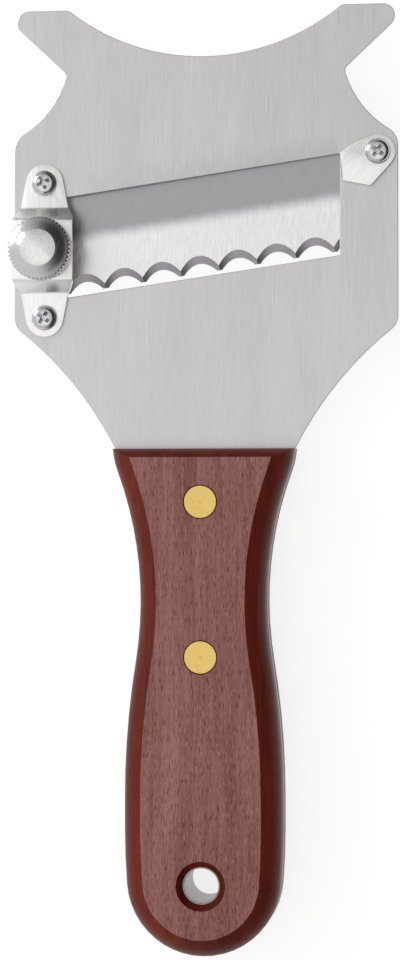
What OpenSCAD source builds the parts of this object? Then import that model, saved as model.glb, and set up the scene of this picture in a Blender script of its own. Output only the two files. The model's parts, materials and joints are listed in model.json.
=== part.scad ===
// Truffle slicer: a horned steel plate on a wooden handle, with a scalloped
// blade behind a slanted window. The blade hangs on a pivot screw at its right
// end. A knurled knob on a small bridge at its left end sets how far the blade
// stands behind the plate, and so how thick the slices come.
// X runs across the plate, Y along the handle towards the horns, Z up through
// the plate. The origin is under the middle of the slicer, on the flat back of
// the handle, on which the slicer lies.

/* [Plate] */
// Length of the plate above the handle, up to the tips of the horns
head_l = 105; // [102:0.5:115]
// Width of the plate
plate_w = 92; // [91:0.5:96]
// Thickness of the plate
plate_t = 1; // [0.9:0.1:1.4]
// Depth of the hollow between the horns
horn_hollow = 11.6; // [9:0.1:13]
// Radius of the hollow between the horns
horn_hollow_r = 52; // [48:0.5:56]
// How far a horn's rounded tip stays inside the plate's straight side
horn_in = 0.7; // [0.5:0.1:1.5]
// Radius of a horn's outer tip
horn_tip_r = 2.8; // [2.2:0.1:3.2]
// Radius of a horn's inner corner
horn_inner_r = 2; // [1:0.1:3]
// Slope of a horn's lower edge
horn_slope = 43; // [41:0.5:45]
// Radius of the notch below a horn
notch_r = 1.5; // [1:0.1:2]
// Radius of the hollow side between notch and shoulder
side_hollow_r = 23.8; // [22:0.1:26]
// Distance of that hollow's middle outside the straight side
side_hollow_out = 10.4; // [9.5:0.1:11]
// Radius of the shoulder
shoulder_r = 4.5; // [3:0.1:5]
// Height at which the shoulder becomes the straight side, above the handle
shoulder_y = 71.6; // [70:0.2:73]
// Height of the lower end of the straight side, above the handle
side_low_y = 31.5; // [29:0.5:33]
// Radius of the lower corner
low_corner_r = 4.5; // [3:0.1:6]
// Radius of the hollow edge that runs down to the handle
neck_hollow_r = 85; // [75:1:95]

/* [Window] */
// Slant of the window and of the blade behind it
window_slant = 8.2; // [6:0.1:9]
// Height of the window's lower edge at the middle line, above the handle
window_y = 41; // [40:0.2:42]
// Width of the window across its slant
window_h = 23.8; // [23:0.1:25]
// Width of the strip of plate right of the window
window_right_strip = 13.8; // [13:0.1:16]
// Width of the strip of plate left of the window
window_strip = 3; // [2.5:0.1:3.2]

/* [Handle] */
// Length of the handle
handle_l = 120; // [112:1:130]
// Thickness of each wooden scale
scale_t = 9.2; // [8.4:0.1:10]
// Width of the handle at its upper end
handle_top_w = 43.2; // [42:0.2:45]
// Radius of the sides next to the upper end
handle_flare_r = 20; // [17:0.5:24]
// Width of the handle at its waist
waist_w = 29.9; // [28:0.1:32]
// Distance of the waist from the upper end
waist_s = 36; // [34:0.5:38]
// Radius of the hollow sides at the waist
waist_r = 88; // [84:1:92]
// Width of the palm swell
swell_w = 37.5; // [36.8:0.1:38.5]
// Distance of the start of the palm swell from the upper end
swell_s = 82.5; // [80:0.5:84]
// Straight stretch along the palm swell
swell_l = 7.5; // [5:0.5:8.5]
// Radius of the handle's round end
end_r = 18.3; // [17.8:0.1:18.4]
// Width of the rounded edge along the sides
edge_w = 4.5; // [3:0.1:5]
// Width of the rounded edge along the upper end
edge_top_w = 2.1; // [1.5:0.1:3]
// Height of the rounded edge
edge_h = 5.8; // [4:0.1:7]

/* [Rivets and hanging hole] */
// Distance of the first rivet from the upper end of the handle
rivet_s = 12.6; // [11:0.1:16]
// Distance between the two rivets
rivet_gap = 36.5; // [30:0.5:40]
// Diameter of the rivet heads
rivet_head_d = 8; // [7:0.1:9]
// Thickness of the rivet heads
rivet_head_t = 1.8; // [1.4:0.1:2.4]
// Diameter of a rivet's hollow shank
rivet_shank_d = 5; // [4.6:0.1:5.4]
// Diameter of a rivet's pin
rivet_pin_d = 3.2; // [2.8:0.1:3.6]
// Distance of the hanging hole from the round end of the handle
hang_end = 17.2; // [16:0.1:19]
// Inside diameter of the tube in the hanging hole
hang_d = 8.2; // [7:0.1:9]
// Wall of the tube in the hanging hole
hang_wall = 0.4; // [0.3:0.05:0.6]
// Diameter of the flare in the wood round the hanging hole
hang_rim_d = 11.7; // [11:0.1:13]
// Depth of the flare in the wood round the hanging hole
hang_rim_t = 1.6; // [1.2:0.1:2]

/* [Blade] */
// Thickness of the blade
blade_t = 0.7; // [0.6:0.05:0.9]
// Gap between the scallops' tips and the window's lower edge, seen from above
edge_gap = 1.1; // [0.8:0.1:1.6]
// Overlap of the blade behind the plate above the window
blade_lap = 4.4; // [3:0.1:5]
// Distance of the soft bend in the blade from the window's lower edge
bend_v = 14; // [13:0.1:15]
// Angle of the blade on each side of its bend
bend_angle = 4; // [2:0.5:6]
// Radius of the soft bend
bend_r = 24; // [15:1:40]
// Distance between two scallops
scallop_pitch = 9.28; // [9:0.01:9.5]
// Number of scallops
scallop_n = 8; // [7:1:8]
// Distance of the first scallop's middle from the window's left edge
first_scallop = 14; // [13.6:0.1:14.4]
// Depth of the scallops
scallop_h = 2.25; // [1.8:0.05:2.5]
// Radius of the wheel that grinds the scallops
wheel_r = 10.8; // [10:0.1:12]
// Width of the ground bevel at the middle of a scallop
bevel_w = 1.9; // [1.5:0.1:2.4]
// Tilt of the blade at rest, which holds its left end away from the plate
blade_tilt = 1; // [0.8:0.05:1.2]
// How far the blade's full width runs on behind the plate, right of the window
blade_past = 8; // [6.5:0.5:8]
// Clearance between the blade's full width and the bridge's nuts
shoulder_play = 1.1; // [0.8:0.1:1.4]
// Width of the blade's tab on each side of the bush's flange
tab_side = 3.2; // [2.4:0.1:3.6]
// Length of the blade's tab beyond the bush's flange
tab_end = 1.5; // [1:0.1:1.8]

/* [Pivot] */
// Distance of the pivot screw from the plate's right side
pivot_in = 4.7; // [4.4:0.1:5.2]
// Height of the pivot screw above the handle
pivot_y = 69.9; // [69.4:0.1:70.4]
// Radius of the clip round the pivot screw
clip_r = 4.2; // [3.9:0.1:4.5]
// Thickness of the clip
clip_t = 1.2; // [1:0.1:1.5]
// Length of the clip's straight tail
clip_tail_h = 6.6; // [6:0.1:7]
// Distance of the clip's lower corner below the pivot screw
clip_heel_y = 8.1; // [7.6:0.1:8.6]
// Distance of the clip's lower corner to the left of the pivot screw
clip_heel_x = 1.7; // [1.2:0.1:2.2]
// Radius of the clip's long round back
clip_back_r = 14; // [12:0.5:18]
// Radius of the blade's ear round the pivot screw
ear_r = 4.6; // [4.3:0.1:4.6]
// Play of the ear between the plate and the washer
pivot_play = 0.2; // [0.18:0.01:0.3]
// Outside diameter of the spacer in the ear
spacer_d = 4.6; // [4.2:0.1:4.8]
// Diameter of the pivot washer
pivot_washer_d = 7.6; // [7:0.1:8.4]
// Thickness of the pivot washer
pivot_washer_t = 0.6; // [0.5:0.1:0.8]

/* [Screws and nuts] */
// Diameter of the small screws
screw_d = 3; // [2.8:0.1:3.2]
// Diameter of the small screws' heads
head_d = 6; // [5.6:0.1:6.2]
// Height of the small screws' heads
head_h = 1.9; // [1.6:0.1:2.2]
// Radius of the small screws' rounded heads at their edge
head_edge_r = 1; // [0.7:0.1:1.3]
// Length of the cross recess in a head
cross_l = 3.4; // [3:0.1:3.8]
// Width of the cross recess in a head
cross_w = 0.9; // [0.7:0.05:1.1]
// Depth of the cross recess in a head
cross_depth = 1.2; // [1:0.05:1.3]
// Width of the nuts across their flats
nut_af = 5.5; // [5:0.1:5.6]
// Thickness of the nuts
nut_t = 2; // [1.6:0.1:2.4]
// Length of screw that stands out of a nut
screw_spare = 0.6; // [0.4:0.1:1]
// Clearance round a small screw in a hole, measured on the radius
hole_play = 0.1; // [0.05:0.01:0.15]

/* [Bridge] */
// Distance of the knob's axis from the plate's left side
knob_in = 7.5; // [7.5:0.1:8]
// Distance of each bridge screw from the knob's axis
bridge_screw_gap = 16.1; // [15.6:0.1:16.6]
// Height of the bridge above the plate
bridge_h = 4.2; // [3.8:0.1:5]
// Thickness of the bridge's sheet
bridge_t = 1; // [0.8:0.1:1.2]
// Width of the bridge's platform
bridge_w = 14.5; // [13:0.1:14.8]
// Width of the bridge at the bottom of its legs
bridge_leg_w = 11.4; // [10:0.1:12]
// Radius of the bridge's round feet
bridge_foot_r = 4.5; // [4:0.1:4.8]
// Distance from the knob's axis to where the platform bends down
bridge_bend_y = 6.5; // [5.5:0.1:7]
// Slope of the bridge's legs
bridge_slope = 50; // [45:1:60]
// Inside radius of the bridge's bends
bridge_bend_r = 0.8; // [0.6:0.1:1]
// Radius of the platform's rounded corners
bridge_corner_r = 1.5; // [1:0.1:2]

/* [Knob] */
// Diameter of the knob over its knurls
knob_d = 15; // [14:0.1:15]
// Height of the knob's knurled band
knob_band_h = 4.3; // [3.5:0.1:5.5]
// Height of the knob's cone above the band
knob_cone_h = 1.6; // [1:0.1:2.2]
// Diameter of the flat on top of the knob
knob_flat_d = 8.5; // [7.5:0.1:9.5]
// Number of knurls
knurl_n = 46; // [36:1:50]
// Depth of the knurls
knurl_depth = 0.45; // [0.3:0.05:0.55]
// Width of the small bevel above and below the knurls
knob_bevel = 0.4; // [0.3:0.05:0.6]
// Diameter of the adjusting screw
spindle_d = 4; // [3.6:0.1:4]
// Depth of the adjusting screw inside the knob
spindle_grip = 3.8; // [3:0.1:4.4]
// Clearance round the adjusting screw in the bridge, measured on the radius
spindle_play = 0.08; // [0.05:0.01:0.1]
// Clearance round the adjusting screw in the bush, measured on the radius
bush_play = 0.16; // [0.14:0.01:0.2]
// Diameter of the bush's spigot, which is riveted into the blade
bush_d = 6; // [5.6:0.1:6.4]
// Diameter of the bush's flange
bush_flange_d = 8; // [7.4:0.1:8.4]
// Thickness of the bush's flange
bush_flange_t = 1.2; // [1:0.1:1.4]
// Length of the bush's riveted end behind the blade
bush_end = 0.36; // [0.3:0.02:0.5]
// Diameter of the washer under the knob
knob_washer_d = 9; // [8:0.1:10]
// Thickness of the washer under the knob
knob_washer_t = 0.5; // [0.4:0.1:0.8]
// How far the blade can still move away from the plate at the knob
blade_drop = 0.7; // [0.5:0.1:0.7]

/* [Hidden] */
$fn = 96;

steel = "#c6c5c6";
bright_steel = "#dcdad8";
brass = "#d9bd76";
wood = "#6e3b30";

// Small overlap of two joined shapes, and how far a cutter reaches past what it cuts
eps = 0.02;
over = 1;
// Clearance round a rivet in its hole, measured on the radius
rivet_play = 0.05;
// Clearance round the ear on its spacer, measured on the radius
ear_play = 0.2;
// Gap between the end of a rivet's pin and the bottom of its socket
rivet_pin_gap = 1;
// Gap between the bush's flange and the highest place of the blade below it
bush_seat_gap = 0.05;
// Length of the wheel that grinds the scallops, on each side of the blade's edge
wheel_reach = 12;
// Turn of each small screw, as it happened to be tightened
bridge_screw_turns = [25, 55];
pivot_screw_turn = 55;

half_w = plate_w / 2;
overall_l = head_l + handle_l;
// Y of the handle's upper end and of its round end
top_y = overall_l / 2 - head_l;
end_y = -overall_l / 2;
plate_z = scale_t;
face_z = plate_z + plate_t;
front_z = face_z + scale_t;
rivet_ys = [top_y - rivet_s, top_y - rivet_s - rivet_gap];
hang_y = end_y + hang_end;
window_left = -half_w + window_strip;
window_right = half_w - window_right_strip;

// Turn from one angle to another, the short way round
function turn(a0, a1) =
    let (d = (a1 - a0) % 360)
    d > 180 ? d - 360 : d < -180 ? d + 360 : d;
// Points along an arc, from one angle to another, the short way round
function arc(c, r, a0, a1, n = 8) =
    [for (i = [0:n]) let (a = a0 + turn(a0, a1) * i / n) c + r * [cos(a), sin(a)]];
function angle_to(a, b) = atan2(b.y - a.y, b.x - a.x);
// Arcs in a row, each without its last point, which the next one starts with
function joined(arcs) = concat(
    [for (points = arcs, i = [0:len(points) - 2]) points[i]],
    [arcs[len(arcs) - 1][len(arcs[len(arcs) - 1]) - 1]]
);
function mirrored(points) = [for (i = [len(points) - 1:-1:0]) [-points[i].x, points[i].y]];

// Right edge of the plate, from the middle of the horns' hollow down to the handle.
// Each rounded stretch starts where the one before it ends, in the same direction.
horn_top_y = top_y + head_l;
hollow_c = [0, horn_top_y - horn_hollow + horn_hollow_r];
inner_c_y = horn_top_y - horn_inner_r;
inner_c = [sqrt(pow(horn_hollow_r + horn_inner_r, 2) - pow(hollow_c.y - inner_c_y, 2)), inner_c_y];
tip_c = [half_w - horn_in - horn_tip_r, horn_top_y - horn_tip_r];
// Direction square to a horn's lower edge, away from the horn
horn_out = [sin(horn_slope), -cos(horn_slope)];
horn_down = [-cos(horn_slope), -sin(horn_slope)];
horn_end = tip_c + horn_tip_r * horn_out;
shoulder_c = [half_w - shoulder_r, top_y + shoulder_y];
// Centre of the hollow side, on the level where the hollow meets the shoulder smoothly
side_c_x = half_w + side_hollow_out;
side_c = [side_c_x, shoulder_c.y
    + sqrt(pow(side_hollow_r + shoulder_r, 2) - pow(side_c_x - shoulder_c.x, 2))];
// The notch touches the horn's lower edge and the hollow side
notch_from = horn_end + notch_r * horn_out - side_c;
notch_b = notch_from * horn_down;
notch_run = -notch_b + sqrt(pow(notch_b, 2) - notch_from * notch_from
    + pow(side_hollow_r - notch_r, 2));
notch_c = side_c + notch_from + notch_run * horn_down;
low_c = [half_w - low_corner_r, top_y + side_low_y];
// The neck's hollow touches the lower corner and ends at the handle's upper corner
neck_end = [handle_top_w / 2, top_y];
neck_reach = norm(neck_end - low_c);
neck_cos = (pow(neck_reach, 2) + pow(neck_hollow_r, 2) - pow(neck_hollow_r + low_corner_r, 2))
    / (2 * neck_reach * neck_hollow_r);
neck_c = neck_end + neck_hollow_r * [cos(angle_to(neck_end, low_c) - acos(neck_cos)),
    sin(angle_to(neck_end, low_c) - acos(neck_cos))];

function plate_edge() = joined([
    arc(hollow_c, horn_hollow_r, -90, angle_to(hollow_c, inner_c), 14),
    arc(inner_c, horn_inner_r, angle_to(inner_c, hollow_c), 90, 4),
    [inner_c + [0, horn_inner_r], tip_c + [0, horn_tip_r]],
    arc(tip_c, horn_tip_r, 90, horn_slope - 90, 10),
    [horn_end, notch_c - notch_r * horn_out],
    arc(notch_c, notch_r, horn_slope + 90, angle_to(side_c, notch_c), 6),
    arc(side_c, side_hollow_r, angle_to(side_c, notch_c), angle_to(side_c, shoulder_c), 8),
    arc(shoulder_c, shoulder_r, angle_to(shoulder_c, side_c), 0, 6),
    [shoulder_c + [shoulder_r, 0], low_c + [low_corner_r, 0]],
    arc(low_c, low_corner_r, 0, angle_to(low_c, neck_c), 6),
    arc(neck_c, neck_hollow_r, angle_to(neck_c, low_c), angle_to(neck_c, neck_end), 12)
]);

// Right edge of the handle, drawn in by side_in along the side and by top_in at
// the upper end. Five arcs follow each other smoothly: flare, waist, palm swell,
// the run into the end, and the round end.
waist_c = [waist_w / 2 + waist_r, top_y - waist_s];
swell_half = swell_w / 2;
// Radius of the palm swell that touches the waist's arc
swell_step = swell_half - waist_w / 2;
swell_r = (pow(swell_step, 2) + pow(swell_s - waist_s, 2)) / (2 * swell_step) - waist_r;
swell_c = [swell_half - swell_r, top_y - swell_s];
end_c = [0, end_y + end_r];
run_s = swell_s + swell_l;
// Radius of the run that touches the palm swell's side and the round end
run_r = (pow(swell_half, 2) + pow(top_y - run_s - end_c.y, 2) - pow(end_r, 2))
    / (2 * (swell_half - end_r));
run_c = [swell_half - run_r, top_y - run_s];
// The flare touches the waist's arc and passes through the upper corner
flare_gap = norm(waist_c - neck_end);
flare_cos = (pow(flare_gap, 2) + pow(handle_flare_r, 2) - pow(waist_r + handle_flare_r, 2))
    / (2 * flare_gap * handle_flare_r);
flare_c = neck_end + handle_flare_r * [cos(angle_to(neck_end, waist_c) - acos(flare_cos)),
    sin(angle_to(neck_end, waist_c) - acos(flare_cos))];

function handle_edge(side_in, top_in) = joined([
    arc(flare_c, handle_flare_r - side_in,
        asin((top_y - top_in - flare_c.y) / (handle_flare_r - side_in)),
        angle_to(flare_c, waist_c), 3),
    arc(waist_c, waist_r + side_in, angle_to(waist_c, flare_c), angle_to(waist_c, swell_c), 10),
    arc(swell_c, swell_r - side_in, angle_to(swell_c, waist_c), 0, 5),
    [swell_c + [swell_r - side_in, 0], run_c + [run_r - side_in, 0]],
    arc(run_c, run_r - side_in, 0, angle_to(run_c, end_c), 2),
    arc(end_c, end_r - side_in, angle_to(run_c, end_c), -90, 11)
]);
function handle_outline(side_in, top_in) =
    let (right = handle_edge(side_in, top_in), left = mirrored(right))
    concat(right, [for (i = [1:len(left) - 1]) left[i]]);

// Y of the line that runs v above the window's lower edge
function slant_y(x, v) = top_y + window_y + x * tan(window_slant) + v / cos(window_slant);
function across(p) = (p.y - top_y - window_y) * cos(window_slant) - p.x * sin(window_slant);
function along(p) = (p.y - top_y - window_y) * sin(window_slant) + p.x * cos(window_slant);

pivot = [half_w - pivot_in, top_y + pivot_y];
knob_x = knob_in - half_w;
knob = [knob_x, slant_y(knob_x, window_h / 2)];
bridge_screws_at = [knob + [0, bridge_screw_gap], knob - [0, bridge_screw_gap]];
// Distance from the pivot to the knob, along the blade
lever = along(pivot) - along(knob);

ear_z = plate_z - pivot_play - blade_t / 2;
washer_z = plate_z - blade_t - 2 * pivot_play;
pivot_nut_z = washer_z - pivot_washer_t - nut_t;
platform_z = face_z + bridge_h;
knob_z = platform_z + knob_washer_t;

module body_plate() {
    edge = joined([plate_edge(), handle_edge(0, 0)]);
    color(steel)
    difference() {
        translate([0, 0, plate_z])
            linear_extrude(plate_t)
                polygon(concat(edge, [for (i = [1:len(edge) - 2]) mirrored(edge)[i]]));
        translate([0, 0, plate_z - eps])
            linear_extrude(plate_t + 2 * eps)
                polygon([
                    [window_left, slant_y(window_left, 0)],
                    [window_right, slant_y(window_right, 0)],
                    [window_right, slant_y(window_right, window_h)],
                    [window_left, slant_y(window_left, window_h)]
                ]);
        for (p = concat(bridge_screws_at, [pivot]))
            through_plate(p, screw_d + 2 * hole_play);
        for (y = rivet_ys)
            through_plate([0, y], rivet_shank_d + 2 * rivet_play);
        through_plate([0, hang_y], hang_d + 2 * hang_wall);
    }
}

module through_plate(p, d) {
    translate([p.x, p.y, plate_z - over])
        cylinder(d = d, h = plate_t + 2 * over);
}

// Rings of the wooden scale's rounded shell, from the plate out to its flat face.
// The rounding is an upright ellipse, cut off where it meets the face at a slight edge:
// edge_turn is the part of the quarter turn that is left, in edge_steps steps.
edge_turn = 65;
edge_steps = 5;
function scale_ring(i) =
    let (a = edge_turn * i / edge_steps, draw = (1 - cos(a)) / (1 - cos(edge_turn)))
    [for (p = handle_outline(edge_w * draw, edge_top_w * draw))
        [p.x, p.y, scale_t - edge_h + edge_h * sin(a) / sin(edge_turn)]];

module scale_shell() {
    base = [for (p = handle_outline(0, 0)) [p.x, p.y, 0]];
    rings = concat([base], [for (i = [0:edge_steps]) scale_ring(i)]);
    n = len(base);
    last = len(rings) - 1;
    // Flat ends, in strips from each point on the right to its mirror image
    ends = [for (i = [0:(n - 1) / 2 - 1]) each
        i < (n - 1) / 2 - 1 ? [[i, i + 1, n - 1 - i], [i + 1, n - 2 - i, n - 1 - i]]
            : [[i, i + 1, n - 1 - i]]];
    polyhedron(
        points = [for (ring = rings, p = ring) p],
        faces = concat(
            ends,
            [for (k = [0:last - 1], i = [0:n - 1], half = [0, 1])
                half == 0 ? [k * n + i, (k + 1) * n + i, (k + 1) * n + (i + 1) % n]
                    : [k * n + i, (k + 1) * n + (i + 1) % n, k * n + (i + 1) % n]],
            [for (f = ends) [for (i = [2, 1, 0]) last * n + f[i]]]
        )
    );
}

module handle_scale() {
    difference() {
        scale_shell();
        for (y = rivet_ys)
            translate([0, y, 0]) {
                translate([0, 0, -over])
                    cylinder(d = rivet_shank_d + 2 * rivet_play, h = scale_t + 2 * over);
                translate([0, 0, scale_t - rivet_head_t])
                    cylinder(d = rivet_head_d + 2 * rivet_play, h = rivet_head_t + over);
            }
        translate([0, hang_y, 0]) {
            translate([0, 0, -over])
                cylinder(d = hang_d + 2 * hang_wall, h = scale_t + 2 * over);
            translate([0, 0, scale_t - hang_rim_t])
                cylinder(d1 = hang_d + 2 * hang_wall, d2 = hang_rim_d, h = hang_rim_t);
            translate([0, 0, scale_t - eps])
                cylinder(d = hang_rim_d, h = over);
        }
    }
}

module handle_scale_front() {
    color(wood)
        translate([0, 0, face_z])
            handle_scale();
}

module handle_scale_back() {
    color(wood)
        translate([0, 0, plate_z])
            mirror([0, 0, 1])
                handle_scale();
}

// The hollow half of each rivet comes from the front and the pin from the back
module rivet_sockets() {
    head_z = front_z - rivet_head_t;
    color(brass)
    for (y = rivet_ys)
        translate([0, y, 0])
            difference() {
                union() {
                    translate([0, 0, head_z])
                        cylinder(d = rivet_head_d, h = rivet_head_t);
                    translate([0, 0, rivet_head_t])
                        cylinder(d = rivet_shank_d, h = head_z - rivet_head_t + eps);
                }
                translate([0, 0, rivet_head_t - over])
                    cylinder(d = rivet_pin_d, h = head_z - rivet_head_t + over);
            }
}

module rivet_pins() {
    color(brass)
    for (y = rivet_ys)
        translate([0, y, 0]) {
            cylinder(d = rivet_head_d, h = rivet_head_t);
            translate([0, 0, rivet_head_t - eps])
                cylinder(d = rivet_pin_d, h = front_z - 2 * rivet_head_t - rivet_pin_gap);
        }
}

module hanging_tube() {
    tube_l = front_z - 2 * hang_rim_t;
    color(steel)
        translate([0, hang_y, hang_rim_t])
            difference() {
                cylinder(d = hang_d + 2 * hang_wall, h = tube_l);
                translate([0, 0, -over])
                    cylinder(d = hang_d, h = tube_l + 2 * over);
            }
}

// The blade is drawn round the pivot screw: X along the blade, Y across it
edge_v = edge_gap - across(pivot);
top_v = window_h + blade_lap - across(pivot);
bend_at = bend_v - across(pivot);
bush_u = -lever / cos(blade_tilt);
bush_v = across(knob) - across(pivot);
blade_right = window_right + blade_past - along(pivot);
// Length of the blade's tab on each side of the knob's axis, and to the left of it
tab_h = bush_flange_d / 2 + tab_side;
tab_l = bush_flange_d / 2 + tab_end;
// The blade's full width ends right of the bridge's nuts, parallel to the plate's side
shoulder_x = knob.x + nut_af / cos(30) / 2 + shoulder_play;
// Height of the bend's centre that brings the blade's top edge level with its ear
bend_c_z = blade_t / 2 + (bend_r / cos(bend_angle)) - (top_v - bend_at) * tan(bend_angle);

// Height of the blade's face that bends with radius r: bend_r is its front face
function blade_z(v, r = bend_r) =
    bend_c_z - r / cos(bend_angle) + abs(v - bend_at) * tan(bend_angle);
function blade_side(r) = concat(
    [[edge_v, blade_z(edge_v, r)]],
    arc([bend_at, bend_c_z], r, -90 - bend_angle, -90 + bend_angle, 6),
    [[top_v, blade_z(top_v, r)]]
);

module blade_sheet() {
    back = blade_side(bend_r + blade_t);
    from_u = bush_u - tab_l - over;
    translate([from_u, 0, 0])
        rotate([90, 0, 90])
            linear_extrude(blade_right - from_u)
                polygon(concat(blade_side(bend_r), [for (i = [len(back) - 1:-1:0]) back[i]]));
}

module in_blade_frame() {
    translate([pivot.x, pivot.y, ear_z])
        rotate([0, 0, window_slant])
            rotate([0, -blade_tilt, 0])
                children();
}

module slicing_blade() {
    crest_v = edge_v + scallop_h;
    bevel_angle = atan(blade_t / bevel_w);
    first_u = window_left + first_scallop - along(pivot);
    // Blocks as large as the blade's width cut the tab free
    block = [top_v - edge_v, top_v - edge_v, face_z];
    color(bright_steel)
    difference() {
        in_blade_frame()
            union() {
                blade_sheet();
                ear();
            }
        in_blade_frame() {
            for (i = [0:scallop_n - 1])
                translate([first_u + i * scallop_pitch, crest_v, blade_z(crest_v) - blade_t])
                    rotate([bevel_angle - bend_angle, 0, 0])
                        translate([0, -wheel_reach, wheel_r])
                            rotate([-90, 0, 0])
                                cylinder(r = wheel_r, h = 2 * wheel_reach);
            translate([0, 0, -blade_t / 2 - over])
                cylinder(d = spacer_d + 2 * ear_play, h = blade_t + 2 * over);
            translate([bush_u, bush_v, bush_low - over])
                cylinder(d = bush_d, h = bush_seat - bush_low + 2 * over);
        }
        translate([shoulder_x - block.x, knob.y + tab_h, 0])
            cube(block);
        translate([shoulder_x - block.x, knob.y - tab_h - block.y, 0])
            cube(block);
        translate([knob.x - tab_l - block.x, knob.y - block.y / 2, 0])
            cube(block);
    }
}

// Flat ear of the blade, on the spacer. It overlaps the sheet by ear_lap.
ear_lap = 2;
ear_from = blade_right - ear_lap;

module ear() {
    translate([0, 0, -blade_t / 2])
        linear_extrude(blade_t)
            union() {
                circle(r = ear_r);
                polygon([[ear_from, -ear_r], [0, -ear_r], [0, ear_r], [ear_from, top_v]]);
            }
}

bush_low = blade_z(bush_v, bend_r + blade_t) - bush_end;
bush_seat = blade_z(bush_v - bush_flange_d / 2) + bush_seat_gap;

module blade_bush() {
    color(brass)
    in_blade_frame()
        translate([bush_u, bush_v, 0])
            difference() {
                union() {
                    translate([0, 0, bush_low])
                        cylinder(d = bush_d, h = bush_seat - bush_low + eps);
                    translate([0, 0, bush_seat])
                        cylinder(d = bush_flange_d, h = bush_flange_t);
                }
                translate([0, 0, bush_low - over])
                    cylinder(d = spindle_d + 2 * bush_play,
                        h = bush_seat + bush_flange_t - bush_low + 2 * over);
            }
}

// Height of the bridge's slanted stretch between its two bends, and its run
leg_l = (bridge_h - 2 * bridge_t - 2 * bridge_bend_r
    + (2 * bridge_bend_r + bridge_t) * cos(bridge_slope)) / sin(bridge_slope);
foot_bend_y = bridge_bend_y + (2 * bridge_bend_r + bridge_t) * sin(bridge_slope)
    + leg_l * cos(bridge_slope);
foot_end_y = bridge_screw_gap + bridge_foot_r;

// Upper side of the bridge's sheet when out is true, else its lower side
function bridge_side(out) =
    let (r_low = bridge_bend_r + (out ? 0 : bridge_t), r_high = bridge_bend_r + (out ? bridge_t : 0))
    concat(
        [[foot_end_y + over, out ? bridge_t : 0]],
        arc([foot_bend_y, bridge_bend_r + bridge_t], r_low, -90, -90 - bridge_slope, 5),
        arc([bridge_bend_y, bridge_h - bridge_t - bridge_bend_r], r_high, 90 - bridge_slope, 90, 5)
    );

module bridge_strip() {
    upper = concat(bridge_side(true), mirrored(bridge_side(true)));
    lower = concat(bridge_side(false), mirrored(bridge_side(false)));
    rotate([90, 0, 90])
        linear_extrude(bridge_w, center = true)
            polygon(concat(upper, [for (i = [len(lower) - 1:-1:0]) lower[i]]));
}

// Slant of the foot's side, which touches its round end
foot_side_angle = atan((bridge_leg_w / 2 - bridge_foot_r) / (bridge_screw_gap - foot_bend_y));
// The platform's corners round off beyond its bends, over this angle
bridge_corner_y = bridge_bend_y + 0.4 * bridge_corner_r;
bridge_corner_turn = 35;

// A quarter of the bridge's outline, from the platform's side to the foot's end
function bridge_quarter() = joined([
    arc([bridge_w / 2 - bridge_corner_r, bridge_corner_y], bridge_corner_r,
        0, bridge_corner_turn, 3),
    [[bridge_leg_w / 2, foot_bend_y], [bridge_leg_w / 2, foot_bend_y]],
    arc([0, bridge_screw_gap], bridge_foot_r, foot_side_angle, 90, 8)
]);

module bridge_plan() {
    half = concat(bridge_quarter(), mirrored(bridge_quarter()));
    polygon(concat(half, -half));
}

module knob_bridge() {
    color(bright_steel)
    translate([knob.x, knob.y, face_z])
        difference() {
            intersection() {
                bridge_strip();
                translate([0, 0, -over])
                    linear_extrude(bridge_h + 2 * over)
                        bridge_plan();
            }
            for (side = [-1, 1])
                translate([0, side * bridge_screw_gap, -over])
                    cylinder(d = screw_d + 2 * hole_play, h = bridge_t + 2 * over);
            translate([0, 0, bridge_h - bridge_t - over])
                cylinder(d = spindle_d + 2 * spindle_play, h = bridge_t + 2 * over);
        }
}

// The rounded edge of a head turns this far in, and its top is flat
head_edge_turn = 70;

// Pan head screw, with its head's underside at z = 0 and its shank going down
module pan_screw(shank_l, cross_turn) {
    rotate(cross_turn)
        difference() {
            union() {
                rotate_extrude()
                    polygon(concat(
                        [[0, 0], [head_d / 2, 0]],
                        arc([head_d / 2 - head_edge_r, head_h - head_edge_r], head_edge_r,
                            0, head_edge_turn, 5),
                        [[0, head_h]]
                    ));
                translate([0, 0, -shank_l])
                    cylinder(d = screw_d, h = shank_l + eps);
            }
            for (a = [0, 90])
                rotate(a)
                    translate([-cross_l / 2, -cross_w / 2, head_h - cross_depth])
                        cube([cross_l, cross_w, cross_depth + over]);
        }
}

module hex_nut() {
    difference() {
        cylinder(d = nut_af / cos(30), h = nut_t, $fn = 6);
        translate([0, 0, -over])
            cylinder(d = screw_d, h = nut_t + 2 * over);
    }
}

bridge_shank_l = bridge_t + plate_t + nut_t + screw_spare;
pivot_shank_l = face_z + clip_t - pivot_nut_z + screw_spare;

module bridge_screws() {
    color(bright_steel)
    for (i = [0, 1])
        translate([bridge_screws_at[i].x, bridge_screws_at[i].y, face_z + bridge_t])
            pan_screw(bridge_shank_l, bridge_screw_turns[i]);
}

module bridge_nuts() {
    color(bright_steel)
    for (p = bridge_screws_at)
        translate([p.x, p.y, plate_z - nut_t])
            hex_nut();
}

module pivot_screw() {
    color(bright_steel)
    translate([pivot.x, pivot.y, face_z + clip_t])
        pan_screw(pivot_shank_l, pivot_screw_turn);
}

module pivot_nut() {
    color(bright_steel)
    translate([pivot.x, pivot.y, pivot_nut_z])
        hex_nut();
}

module pivot_spacer() {
    color(bright_steel)
    translate([pivot.x, pivot.y, washer_z])
        difference() {
            cylinder(d = spacer_d, h = plate_z - washer_z);
            translate([0, 0, -over])
                cylinder(d = screw_d + 2 * hole_play, h = plate_z - washer_z + 2 * over);
        }
}

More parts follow.
